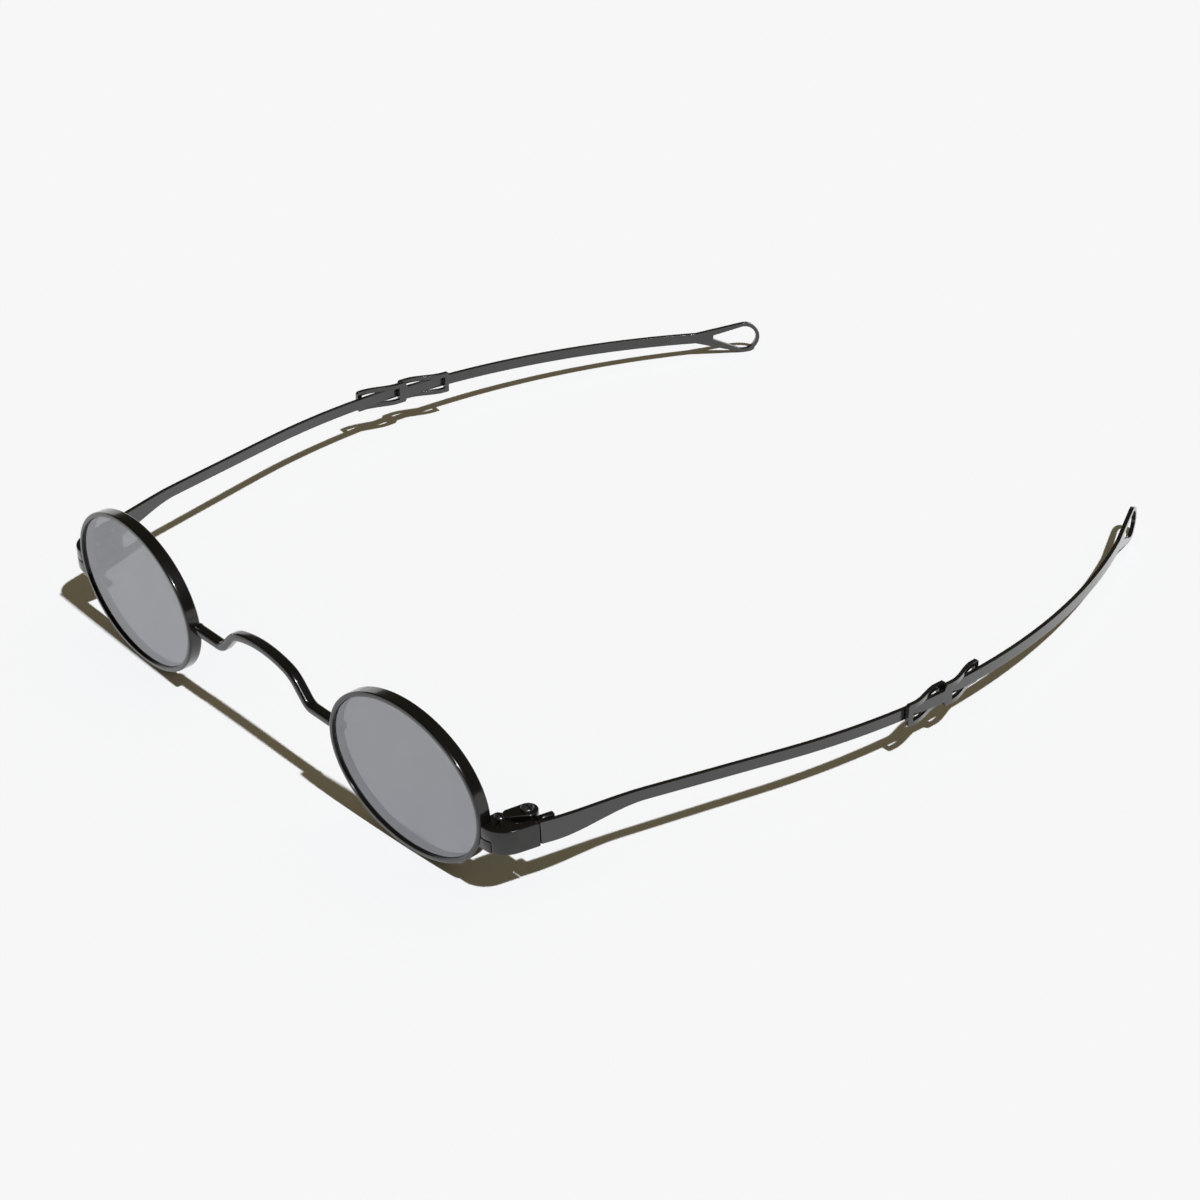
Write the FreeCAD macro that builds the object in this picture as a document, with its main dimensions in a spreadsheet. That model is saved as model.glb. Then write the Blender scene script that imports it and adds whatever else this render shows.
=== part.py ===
import FreeCAD, Part
import math
import os

import Sketcher
from FreeCAD import Placement, Rotation, Vector

# Round-eye spectacles with temples that fold and slide.
# Millimetres, +Z up. The front faces -Y, the temples run towards +Y and the wearer's left is +X.
# The spectacles stand open on the rim bottoms and the temple tips, with the temples drawn out.

# Driving dimensions
SIZES = {
    # eyewires and lenses
    "rim_half_width": 17.0,
    "rim_half_height": 12.6,
    "rim_face": 1.3,
    "rim_depth": 2.2,
    "rim_bevel": 0.28,
    "rim_slit": 0.12,
    "lens_spacing": 70.8,
    "lens_thickness": 1.0,
    "groove_depth": 0.5,
    "lens_play": 0.05,
    "wrap_angle": 2.6,
    # bridge
    "bridge_depth": 1.5,
    "bridge_thickness": 1.25,
    "bridge_set_back": 0.3,
    "bridge_foot_rise": 0.3,
    "bridge_dip_half": 13.2,
    "bridge_dip_bend": 1.9,
    "bridge_crown_rise": 5.6,
    # endpieces and closing blocks
    "endpiece_height": 4.0,
    "endpiece_drop": 2.1,
    "endpiece_wall": 1.5,
    "endpiece_bend": 4.2,
    "lug_depth": 4.1,
    "lug_length": 3.0,
    "seam_gap": 0.1,
    "block_length": 2.6,
    "block_gap": 0.06,
    # closing and hinge screws
    "closing_screw_radius": 0.45,
    "closing_head_radius": 0.8,
    "closing_head_height": 0.4,
    "closing_screw_length": 3.6,
    "hinge_screw_radius": 0.6,
    "hinge_head_radius": 1.0,
    "hinge_head_height": 0.4,
    "screw_play": 0.05,
    # hinges
    "knuckle_radius": 1.6,
    "ear_height": 1.3,
    "middle_knuckle_height": 1.6,
    "knuckle_gap": 0.1,
    "hinge_inset": 3.0,
    "hinge_set_back": 0.4,
    "knuckle_rise": 0.3,
    "leaf_plate": 0.9,
    "leaf_plate_length": 3.0,
    "leaf_plate_start": 1.7,
    # temples
    "seam_outward": 4.8,
    "seam_back": 7.5,
    "strip_thickness": 0.7,
    "strip_height": 1.8,
    "strip_rise": 1.9,
    "splay_angle": 12.0,
    "fall_angle": 3.9,
    "root_height": 3.6,
    "root_top_drop": 0.8,
    "root_length": 17.0,
    "straight_length": 40.0,
    "temple_bend": 125.0,
    "joint_length": 70.5,
    "plate_length": 9.0,
    "plate_height": 3.7,
    "plate_border": 0.9,
    "plate_overlap": 1.0,
    "slide_play": 0.15,
    "window_play": 0.2,
    "tip_length": 141.0,
    "loop_length": 12.0,
    "flare_length": 3.3,
    "loop_height": 5.8,
    "loop_wire": 0.65,
}

doc = FreeCAD.newDocument("spectacles")
sheet = doc.addObject("Spreadsheet::Sheet", "Sizes")
for row, (alias, number) in enumerate(SIZES.items(), start=1):
    sheet.set(f"A{row}", alias)
    sheet.set(f"B{row}", str(number))
    sheet.setAlias(f"B{row}", alias)
doc.recompute()


class Size:
    """A length or an angle that knows its value and the spreadsheet formula behind it."""

    def __init__(self, value, formula):
        self.value = value
        self.formula = formula

    def _join(self, other, sign, result):
        other = as_size(other)
        return Size(result(self.value, other.value), f"({self.formula} {sign} {other.formula})")

    def __add__(self, other):
        return self._join(other, "+", lambda a, b: a + b)

    def __sub__(self, other):
        return self._join(other, "-", lambda a, b: a - b)

    def __mul__(self, other):
        return self._join(other, "*", lambda a, b: a * b)

    def __truediv__(self, other):
        return self._join(other, "/", lambda a, b: a / b)

    def __rsub__(self, other):
        return as_size(other) - self

    def __neg__(self):
        return as_size(0.0) - self

    __radd__ = __add__
    __rmul__ = __mul__


def as_size(number):
    return number if isinstance(number, Size) else Size(float(number), repr(float(number)))


def size(alias):
    """A cell of the sheet, named by its alias."""
    return Size(float(sheet.get(alias)), f"Sizes.{alias}")


def tangent_of(angle):
    """The tangent of an angle that is held in degrees."""
    return Size(math.tan(math.radians(angle.value)), f"tan({angle.formula} * 1 deg)")


def bind(thing, **properties):
    """Ties properties of an object to sizes of the sheet."""
    for name, length in properties.items():
        thing.setExpression(name, as_size(length).formula)
    return thing


def add(kind, label, **properties):
    thing = doc.addObject(kind, label)
    thing.Label = label
    return bind(thing, **properties)


def move(thing, x=0.0, y=0.0, z=0.0):
    """Places an object by three sizes."""
    for axis, length in zip("xyz", (x, y, z)):
        thing.setExpression(f"Placement.Base.{axis}", as_size(length).formula)
    return thing


def cut(label, base, tool):
    result = add("Part::Cut", label)
    result.Base = base
    result.Tool = tool
    return result


def common(label, base, tool):
    result = add("Part::Common", label)
    result.Base = base
    result.Tool = tool
    return result


# Places that several pieces share
lens_centre_x = size("lens_spacing") / 2
lens_centre_z = size("rim_half_height")
endpiece_z = lens_centre_z - size("endpiece_drop")
endpiece_bottom = endpiece_z - size("endpiece_height") / 2
endpiece_top = endpiece_z + size("endpiece_height") / 2
seam_x = lens_centre_x + size("rim_half_width") + size("seam_outward")
hinge_x = seam_x - size("hinge_inset")
hinge_y = size("seam_back") + size("hinge_set_back")
ear_step = size("ear_height") + size("knuckle_gap")
stack_height = ear_step * 2 + size("middle_knuckle_height")
stack_bottom = endpiece_z + size("knuckle_rise") - stack_height / 2
stack_top = stack_bottom + stack_height


# Sketches, fully constrained to the sheet
def on_plane(body, sketch, role):
    for feature in body.Origin.OriginFeatures:
        if feature.Role == role:
            sketch.AttachmentSupport = [(feature, "")]
    sketch.MapMode = "FlatFace"


def pin_point(sketch, geometry, vertex, x, y):
    """Holds a vertex at two coordinates."""
    for kind, length in (("DistanceX", x), ("DistanceY", y)):
        index = sketch.addConstraint(Sketcher.Constraint(kind, -1, 1, geometry, vertex, length.value))
        sketch.setExpression(f"Constraints[{index}]", length.formula)


def pin_radius(sketch, geometry, radius):
    index = sketch.addConstraint(Sketcher.Constraint("Radius", geometry, radius.value))
    sketch.setExpression(f"Constraints[{index}]", radius.formula)


def outline(sketch, corners):
    """Draws a closed outline of straight edges through the corners."""
    corners = [(as_size(x), as_size(y)) for x, y in corners]
    spots = [Vector(x.value, y.value, 0) for x, y in corners]
    edges = []
    for start, end in zip(spots, spots[1:] + spots[:1]):
        edges.append(sketch.addGeometry(Part.LineSegment(start, end), False))
    for edge, before, (x, y) in zip(edges, edges[-1:] + edges[:-1], corners):
        sketch.addConstraint(Sketcher.Constraint("Coincident", before, 2, edge, 1))
        pin_point(sketch, edge, 1, x, y)


def circle(sketch, x, y, radius):
    x, y, radius = as_size(x), as_size(y), as_size(radius)
    ring = sketch.addGeometry(Part.Circle(Vector(x.value, y.value, 0), Vector(0, 0, 1), radius.value), False)
    pin_point(sketch, ring, 3, x, y)
    pin_radius(sketch, ring, radius)


def new_body(label):
    body = doc.addObject("PartDesign::Body", label)
    body.Label = label
    return body


def new_sketch(body, name, role, offset=0.0):
    sketch = body.newObject("Sketcher::SketchObject", f"{body.Label}_{name}")
    on_plane(body, sketch, role)
    sketch.setExpression("AttachmentOffset.Base.z", as_size(offset).formula)
    return sketch


def feature(body, kind, name, sketch, **properties):
    result = body.newObject(f"PartDesign::{kind}", f"{body.Label}_{name}")
    result.Profile = sketch
    bind(result, **properties)
    doc.recompute()
    return result


def pad(body, name, sketch, length):
    return feature(body, "Pad", name, sketch, Length=length)


def pocket(body, name, sketch, length):
    """Cuts upwards from the sketch, which lies at the lower end of the cut."""
    before = body.Shape.Volume
    result = feature(body, "Pocket", name, sketch, Length=length)
    result.Reversed = True
    doc.recompute()
    if body.Shape.Volume >= before:
        raise RuntimeError(f"{body.Label}: {name} cuts nothing")
    return result


def round_edges(body, name, radius, wanted):
    """Rounds the edges of the body that are wanted."""
    base = body.Tip
    names = [f"Edge{i}" for i, edge in enumerate(base.Shape.Edges, start=1) if wanted(edge)]
    result = body.newObject("PartDesign::Fillet", f"{body.Label}_{name}")
    result.Base = (base, names)
    result.setExpression("Radius", as_size(radius).formula)
    doc.recompute()
    return result


def upright_at(*spots):
    """Picks the upright edges that stand at the given places in plan."""
    places = [(as_size(x).value, as_size(y).value) for x, y in spots]

    def wanted(edge):
        return any(all(math.hypot(v.X - x, v.Y - y) < 0.01 for v in edge.Vertexes) for x, y in places)

    return wanted


# Eyewires and lenses
def oval_slab(label, half_width, half_height, start, depth):
    """An oval plate about the lens axis, whose front face lies at start."""
    edge = add("Part::Ellipse", f"{label}_edge", MajorRadius=half_width, MinorRadius=half_height)
    edge.Placement = Placement(Vector(), Rotation(Vector(1, 0, 0), 90))
    edge.setExpression("Placement.Base.y", as_size(start).formula)
    slab = add("Part::Extrusion", label, LengthFwd=depth)
    slab.Base = edge
    slab.DirMode = "Custom"
    slab.Dir = Vector(0, 1, 0)
    slab.Solid = True
    return slab


def wrap_in_place(thing):
    """Turns a piece of the left eye by the wrap angle and carries it to the lens centre."""
    thing.Placement = Placement(Vector(), Rotation(Vector(0, 0, 1), 1))
    thing.setExpression("Placement.Rotation.Angle", size("wrap_angle").formula)
    return move(thing, lens_centre_x, 0, lens_centre_z)


groove_width = size("lens_thickness") + size("lens_play") * 2
opening_width = size("rim_half_width") - size("rim_face")
opening_height = size("rim_half_height") - size("rim_face")
groove_floor = size("groove_depth")
lens_edge = size("groove_depth") - size("lens_play")


def bevelled(label, source):
    """Breaks the edges of the front face."""
    doc.recompute()
    bevel = float(sheet.rim_bevel)
    chosen = []
    for index, edge in enumerate(source.Shape.Edges, start=1):
        if all(abs(v.Y) < 0.01 for v in edge.Vertexes):
            chosen.append((index, bevel, bevel))
    result = add("Part::Chamfer", label)
    result.Base = source
    result.Edges = chosen
    return result


def make_eyewire():
    blank = oval_slab("eyewire_blank", size("rim_half_width"), size("rim_half_height"), 0, size("rim_depth"))
    opening = oval_slab("eyewire_opening", opening_width, opening_height, -1, size("rim_depth") + 2)
    ring = cut("eyewire_ring", blank, opening)
    front = bevelled("eyewire_bevelled", ring)
    groove = oval_slab(
        "lens_groove",
        opening_width + groove_floor,
        opening_height + groove_floor,
        size("rim_depth") / 2 - groove_width / 2,
        groove_width,
    )
    grooved = cut("eyewire_grooved", front, groove)
    slit = add(
        "Part::Box",
        "eyewire_slit",
        Length=size("rim_face") * 4,
        Width=size("rim_depth") + 2,
        Height=size("rim_slit"),
    )
    start = size("rim_half_width") - size("rim_face") * 2
    move(slit, start, -1, -size("endpiece_drop") - size("rim_slit") / 2)
    return wrap_in_place(cut("left_eyewire", grooved, slit))


def make_lens():
    lens = oval_slab(
        "left_lens",
        opening_width + lens_edge,
        opening_height + lens_edge,
        size("rim_depth") / 2 - size("lens_thickness") / 2,
        size("lens_thickness"),
    )
    return wrap_in_place(lens)


def rim_tool(label):
    """The space that the left eyewire fills, for seating what is soldered to it."""
    tool = oval_slab(label, size("rim_half_width"), size("rim_half_height"), 0, size("rim_depth"))
    return wrap_in_place(tool)


# Bridge: one flat wire, bent over the nose
def bridge_edge(offset):
    """One long edge of the wire, offset from its middle: level feet, tight dips and a wide crown."""
    foot = (lens_centre_x - size("rim_half_width") + size("rim_face") * 0.6).value
    low = (lens_centre_z + size("bridge_foot_rise")).value
    top = (lens_centre_z + size("bridge_crown_rise")).value
    dip_x = float(sheet.bridge_dip_half)
    dip_bend = float(sheet.bridge_dip_bend)
    dip = Vector(dip_x, 0, low + dip_bend)
    rise = top - dip.z
    crown_bend = (dip_x**2 + rise**2 - dip_bend**2) / (2 * (rise + dip_bend))
    crown = Vector(0, 0, top - crown_bend)
    meet = crown + (dip - crown) * ((crown_bend + offset) / (crown_bend + dip_bend))
    bottom = dip - Vector(0, 0, dip_bend - offset)
    end = Vector(foot, 0, low + offset)
    halfway = (bottom + meet) / 2 - dip
    inner = dip + halfway * ((dip_bend - offset) / halfway.Length)
    other = [Vector(-spot.x, 0, spot.z) for spot in (end, bottom, inner, meet)]
    return [
        Part.LineSegment(end, bottom),
        Part.Arc(bottom, inner, meet),
        Part.Arc(meet, Vector(0, 0, top + offset), other[3]),
        Part.Arc(other[3], other[2], other[1]),
        Part.LineSegment(other[1], other[0]),
    ]


def make_bridge():
    half = float(sheet.bridge_thickness) / 2
    depth = Vector(0, float(sheet.bridge_depth), 0)
    upper, lower = bridge_edge(half), bridge_edge(-half)
    ends = [
        Part.LineSegment(upper[0].StartPoint, lower[0].StartPoint),
        Part.LineSegment(upper[-1].EndPoint, lower[-1].EndPoint),
    ]
    edges = [edge.toShape() for edge in upper + lower + ends]
    solid = Part.Face(Part.Wire(Part.__sortEdges__(edges))).extrude(depth)
    foot = upper[0].StartPoint.x
    long_edges = []
    for edge in solid.Edges:
        first, last = edge.Vertexes[0], edge.Vertexes[-1]
        if abs(first.Y - last.Y) < half * 0.01 and min(abs(first.X), abs(last.X)) < foot - half:
            long_edges.append(edge)
    wire = add("Part::Feature", "bridge_wire")
    wire.Shape = solid.makeFillet(half * 0.4, long_edges)
    wire.Placement = Placement(Vector(0, float(sheet.bridge_set_back), 0), Rotation())
    left = rim_tool("bridge_seat_left")
    right = add("Part::Mirroring", "bridge_seat_right")
    right.Source = left
    right.Normal = Vector(1, 0, 0)
    return cut("bridge", cut("bridge_left_seated", wire, left), right)


# Endpieces: a curved block from the eyewire round to the temple, split beside the eyewire
def endpiece_blank():
    body = new_body("endpiece_blank")
    plan = new_sketch(body, "plan", "XY_Plane", endpiece_bottom)
    wall = size("endpiece_wall")
    end = size("seam_back") - size("seam_gap")
    outer_end = seam_x + size("strip_thickness") * 0.5
    corner = outer_end - size("seam_back") * 0.2
    front = size("rim_half_width") * tangent_of(size("wrap_angle")) + 0.1
    side = lens_centre_x + size("rim_half_width")
    root = side - size("rim_face")
    lug_back = front + size("lug_depth")
    lug_end = root + size("lug_length") + size("rim_face")
    outline(
        plan,
        [
            (root, front),
            (corner, front),
            (outer_end, end),
            (outer_end - wall, end),
            (lug_end, lug_back),
            (root, lug_back),
        ],
    )
    pad(body, "block", plan, size("endpiece_height"))
    round_edges(body, "bend", size("endpiece_bend"), upright_at((corner, front)))
    round_edges(body, "lug_corners", wall * 0.4, upright_at((lug_end, lug_back), (root, lug_back)))
    bore = new_sketch(body, "bore", "XY_Plane", endpiece_bottom)
    circle(bore, closing_screw_x, closing_screw_y, size("closing_screw_radius") + size("screw_play"))
    pocket(body, "screw_hole", bore, size("endpiece_height"))
    return cut("endpiece_seated", body, rim_tool("endpiece_seat"))


closing_screw_x = lens_centre_x + size("rim_half_width") - size("rim_face") + size("lug_length") * 0.5
closing_screw_y = size("rim_depth") + size("lug_depth") * 0.48
block_end = closing_screw_x + size("block_length") * 0.6


def block_space(label, gap):
    """The lower quarter beside the eyewire, which the closing block fills."""
    space = add(
        "Part::Box",
        label,
        Length=size("rim_half_width"),
        Width=size("seam_back") * 2,
        Height=size("endpiece_height"),
    )
    low = endpiece_z - size("endpiece_height")
    return move(space, block_end - size("rim_half_width") - gap, -size("seam_back"), low - gap)


def make_endpiece(blank):
    return cut("left_endpiece", blank, block_space("block_space", 0))


def make_closing_block(blank):
    return common("left_closing_block", blank, block_space("block_body", size("block_gap")))


# Screws: turned from one profile, slotted
def make_screw(label, x, y, seat, radius, head_radius, head_height, length):
    """A cheese-head screw whose head sits on seat and whose shank points down."""
    body = new_body(label)
    profile = new_sketch(body, "profile", "XZ_Plane")
    soft = head_height * 0.3
    outline(
        profile,
        [
            (0, -length),
            (radius * 0.7, -length),
            (radius, radius * 0.4 - length),
            (radius, 0),
            (head_radius, 0),
            (head_radius, head_height - soft),
            (head_radius - soft, head_height),
            (0, head_height),
        ],
    )
    turned = feature(body, "Revolution", "turned", profile)
    turned.ReferenceAxis = (profile, ["V_Axis"])
    turned.Angle = 360
    doc.recompute()
    slot = new_sketch(body, "slot", "XY_Plane", head_height * 0.45)
    half = head_radius * 0.18
    reach = head_radius * 1.2
    outline(slot, [(-reach, -half), (reach, -half), (reach, half), (-reach, half)])
    pocket(body, "slot_cut", slot, head_height)
    return move(body, x, y, seat)


# Hinges: two ears on the endpiece, one knuckle on the temple, one screw through all three
def make_front_leaf(whole_endpiece):
    """The two ears on their neck, fitted against the endpiece as it is before the split."""
    body = new_body("front_leaf_blank")
    plan = new_sketch(body, "plan", "XY_Plane", stack_bottom)
    knuckle = size("knuckle_radius")
    reach_x = seam_x - size("endpiece_wall") * 0.6
    start_x = hinge_x + knuckle * 0.15
    start_y = size("seam_back") - size("leaf_plate_length") * 1.1
    end_y = size("seam_back") - size("seam_gap") * 2
    outline(
        plan,
        [
            (hinge_x - knuckle * 0.7, hinge_y - knuckle * 0.3),
            (start_x, start_y),
            (reach_x, start_y),
            (reach_x, end_y),
            (hinge_x, end_y),
        ],
    )
    pad(body, "neck", plan, stack_height)
    round_edges(body, "neck_corner", knuckle * 0.5, upright_at((start_x, start_y)))
    barrel = new_sketch(body, "barrel", "XY_Plane", stack_bottom)
    circle(barrel, hinge_x, hinge_y, knuckle)
    pad(body, "barrel_pad", barrel, stack_height)
    slot = new_sketch(body, "slot", "XY_Plane", stack_bottom + size("ear_height"))
    clear = knuckle + size("knuckle_gap")
    slot_y = hinge_y - clear
    outline(
        slot,
        [
            (hinge_x - clear * 2, slot_y),
            (hinge_x + clear * 2, slot_y),
            (hinge_x + clear * 2, hinge_y + clear),
            (hinge_x - clear * 2, hinge_y + clear),
        ],
    )
    pocket(body, "knuckle_slot", slot, size("middle_knuckle_height") + size("knuckle_gap") * 2)
    hole = new_sketch(body, "hole", "XY_Plane", stack_bottom)
    circle(hole, hinge_x, hinge_y, size("hinge_screw_radius") + size("screw_play"))
    pocket(body, "screw_hole", hole, stack_height)
    return cut("left_front_hinge_leaf", body, whole_endpiece)


def bar_middle(y):
    """Where the middle of the splayed temple bar passes a place behind the seam."""
    return seam_x + (y - size("seam_back")) * tangent_of(size("splay_angle"))


def make_temple_leaf(bar):
    """The middle knuckle, its web and the plate that lies along the inside of the bar."""
    body = new_body("temple_leaf_blank")
    plan = new_sketch(body, "plan", "XY_Plane", stack_bottom + ear_step)
    knuckle = size("knuckle_radius")
    plate_y = hinge_y + size("leaf_plate_start")
    plate_end = plate_y + size("leaf_plate_length")
    web_y = hinge_y + knuckle * 0.2
    web_end = plate_y + size("leaf_plate")
    outline(
        plan,
        [
            (hinge_x, web_y),
            (bar_middle(web_y), web_y),
            (bar_middle(web_end), web_end),
            (hinge_x + knuckle * 0.2, hinge_y + knuckle * 0.98),
        ],
    )
    pad(body, "web", plan, size("middle_knuckle_height"))
    barrel = new_sketch(body, "barrel", "XY_Plane", stack_bottom + ear_step)
    circle(barrel, hinge_x, hinge_y, knuckle)
    pad(body, "barrel_pad", barrel, size("middle_knuckle_height"))
    plate = new_sketch(body, "plate", "XY_Plane", stack_bottom + size("knuckle_gap") * 3)
    inwards = size("leaf_plate") + size("strip_thickness") * 0.5
    outline(
        plate,
        [
            (bar_middle(plate_y) - inwards, plate_y),
            (bar_middle(plate_y), plate_y),
            (bar_middle(plate_end), plate_end),
            (bar_middle(plate_end) - inwards, plate_end),
        ],
    )
    pad(body, "plate_pad", plate, stack_height - size("knuckle_gap") * 6)
    hole = new_sketch(body, "hole", "XY_Plane", stack_bottom + ear_step)
    circle(hole, hinge_x, hinge_y, size("hinge_screw_radius") + size("screw_play"))
    pocket(body, "screw_hole", hole, size("middle_knuckle_height"))
    return cut("left_temple_hinge_leaf", body, bar)


# Temples: two strips on one arc, each woven through a window in the end of the other.
# Both are drawn about the centre of that arc: a place on a strip is its length from the seam
# and its distance outwards from the outer strip's middle, and z is measured from the strip's middle.
bend = float(sheet.temple_bend)
straight = float(sheet.straight_length)
thickness = float(sheet.strip_thickness)
strip_height = float(sheet.strip_height)
plate_height = float(sheet.plate_height)
joint = float(sheet.joint_length)
reach = float(sheet.plate_length)
border = float(sheet.plate_border)
overlap = float(sheet.plate_overlap)
step = thickness + float(sheet.slide_play)
window_half = strip_height / 2 + float(sheet.window_play)


def turned_by(length):
    """The angle that the arc has turned at a length from the seam."""
    return max(0.0, length - straight) / bend


def place(length, out, z=0.0):
    if length < straight:
        return Vector(bend + out, length - straight, z)
    angle = turned_by(length)
    return Vector((bend + out) * math.cos(angle), (bend + out) * math.sin(angle), z)


def along(length):
    """The direction in which the strip runs at a length from the seam."""
    angle = turned_by(length)
    return Vector(-math.sin(angle), math.cos(angle), 0)


def run(start, end, out, z):
    """One edge of a strip that keeps its distance: a line, or an arc about the centre."""
    if end <= straight:
        return Part.LineSegment(place(start, out, z), place(end, out, z))
    return Part.Arc(place(start, out, z), place((start + end) / 2, out, z), place(end, out, z))


def shift(start, end, out_start, out_end, z):
    """One edge of a strip that changes its layer in a smooth S."""
    points = []
    for i in range(7):
        part = i / 6
        ease = part * part * (3 - 2 * part)
        points.append(place(start + (end - start) * part, out_start + (out_end - out_start) * ease, z))
    curve = Part.BSplineCurve()
    curve.interpolate(Points=points, InitialTangent=along(start), FinalTangent=along(end))
    return curve


def ribbon(pieces, low, high):
    """A strip of the given height, whose plan is a chain of (start, end, out at start, out at end)."""
    sides = []
    for offset in (thickness / 2, -thickness / 2):
        edges = []
        for start, end, out_start, out_end in pieces:
            if out_start == out_end:
                edges.append(run(start, end, out_start + offset, low))
            else:
                edges.append(shift(start, end, out_start + offset, out_end + offset, low))
        sides.append([edge.toShape() for edge in edges])
    first, last = pieces[0], pieces[-1]
    ends = []
    for length, out in ((first[0], first[2]), (last[1], last[3])):
        ends.append(
            Part.makeLine(place(length, out + thickness / 2, low), place(length, out - thickness / 2, low))
        )
    wire = Part.Wire(Part.__sortEdges__(sides[0] + sides[1] + ends))
    return Part.Face(wire).extrude(Vector(0, 0, high - low))


def side_view(length, edges):
    """A cutter that shows the given closed outline when the strip is seen square on at a length.

    The outline is drawn in (length from that place, z).
    """
    wire = Part.Wire(Part.__sortEdges__([edge.toShape() for edge in edges]))
    angle = turned_by(length)
    slab = Part.Face(wire).extrude(Vector(0, 0, plate_height * 6))
    slab.translate(Vector(0, 0, -plate_height * 3))
    across = Vector(math.cos(angle), math.sin(angle), 0)
    turn = Rotation(along(length), Vector(0, 0, 1), across, "XYZ")
    slab.Placement = Placement(place(length, 0), turn).multiply(slab.Placement)
    return slab


def polygon(points):
    """Straight edges through the points, closed."""
    spots = [Vector(x, y, 0) for x, y in points]
    return [Part.LineSegment(a, b) for a, b in zip(spots, spots[1:] + spots[:1])]


def plate_outline(direction):
    """The side view of a windowed plate, whose border lies in the given direction from the joint."""
    half = plate_height / 2
    low = strip_height / 2
    soft = border * 0.3
    start = -overlap * 2 * direction
    shoulder = -overlap * 0.2 * direction
    end = reach * direction
    corner = soft * direction
    outer = polygon(
        [
            (start, -low),
            (shoulder - (half - low) * direction * 0.6, -low),
            (shoulder, -half),
            (end - corner, -half),
            (end, soft - half),
            (end, half - soft),
            (end - corner, half),
            (shoulder, half),
            (shoulder - (half - low) * direction * 0.6, low),
            (start, low),
        ]
    )
    near, far = overlap * direction, (reach - border) * direction
    window = polygon([(near, -window_half), (far, -window_half), (far, window_half), (near, window_half)])
    return outer, window


def plate(direction, home, away):
    """A windowed plate that leaves its own layer for the far side of the other strip."""
    start, turn_in, turn_out, end = (
        joint - direction * overlap * 1.5,
        joint + direction * overlap * 1.2,
        joint + direction * (reach - border * 1.25),
        joint + direction * reach,
    )
    pieces = [(start, turn_in, home, home), (turn_in, turn_out, home, away), (turn_out, end, away, away)]
    if direction < 0:
        pieces = [(b, a, out_b, out_a) for a, b, out_a, out_b in reversed(pieces)]
    blank = ribbon(pieces, -plate_height / 2, plate_height / 2)
    outer, window = plate_outline(direction)
    return blank.common(side_view(joint, outer)).cut(side_view(joint, window))


def root_outline():
    """The side view of the tall root, which runs down to the strip in two easy curves."""
    top = float(sheet.strip_height) / 2 - float(sheet.root_top_drop)
    bottom = top - float(sheet.root_height)
    half = strip_height / 2
    length = float(sheet.root_length)
    early = -2 * float(sheet.strip_thickness)
    hold = length * 0.12
    soft = length * 0.3
    leave, arrive = hold + soft, length - soft
    upper = Part.BezierCurve()
    upper.setPoles([Vector(hold, top), Vector(leave, top), Vector(arrive, half), Vector(length, half)])
    lower = Part.BezierCurve()
    lower.setPoles(
        [Vector(length, -half), Vector(arrive, -half), Vector(leave, bottom), Vector(hold, bottom)]
    )
    lines = [
        Part.LineSegment(Vector(early, top), Vector(hold, top)),
        Part.LineSegment(Vector(length, half), Vector(straight, half)),
        Part.LineSegment(Vector(straight, half), Vector(straight, -half)),
        Part.LineSegment(Vector(straight, -half), Vector(length, -half)),
        Part.LineSegment(Vector(hold, bottom), Vector(early, bottom)),
        Part.LineSegment(Vector(early, bottom), Vector(early, top)),
    ]
    return [upper, lower] + lines


def touch(point, centre, radius, side):
    """Where the straight line from a point touches a circle, above it or below it."""
    gap = centre - point
    angle = math.asin(radius / gap.Length) * side
    length = math.sqrt(gap.Length**2 - radius**2)
    heading = math.atan2(gap.y, gap.x) + angle
    return point + Vector(math.cos(heading), math.sin(heading), 0) * length


def drop_outline(neck, neck_half, centre, radius):
    """A teardrop that opens from a blunt neck to a round end."""
    upper = Vector(neck, neck_half, 0)
    lower = Vector(neck, -neck_half, 0)
    high = touch(upper, centre, radius, 1)
    low = touch(lower, centre, radius, -1)
    end = centre + Vector(radius, 0, 0)
    edges = [Part.LineSegment(upper, high), Part.Arc(high, end, low), Part.LineSegment(low, lower)]
    return edges + [Part.LineSegment(lower, upper)]


tip = float(sheet.tip_length)
tail = tip - float(sheet.loop_length)
loop_radius = float(sheet.loop_height) / 2
loop_wire = float(sheet.loop_wire)

seam_point = Vector(
    seam_x.value,
    float(sheet.seam_back),
    float(sheet.rim_half_height) - float(sheet.endpiece_drop) + float(sheet.strip_rise),
)
fall = Rotation(Vector(1, 0, 0), -float(sheet.fall_angle))
splay = Rotation(Vector(0, 0, 1), -float(sheet.splay_angle))
lay = fall.multiply(splay)
temple_place = Placement(seam_point - lay.multVec(Vector(bend, -straight, 0)), lay)


def loop_drop():
    """How far the loop hangs below the strip for its underside to meet the table."""
    end = temple_place.multVec(place(tail, -step) + along(tail) * (tip - tail - loop_radius))
    upright = lay.multVec(Vector(0, 0, 1)).z
    slope = lay.multVec(along(tail)).z
    lean = abs(lay.multVec(lay_across(tail)).z)
    return (loop_radius * math.hypot(upright, slope) + lean / 2 - end.z) / upright


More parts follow.
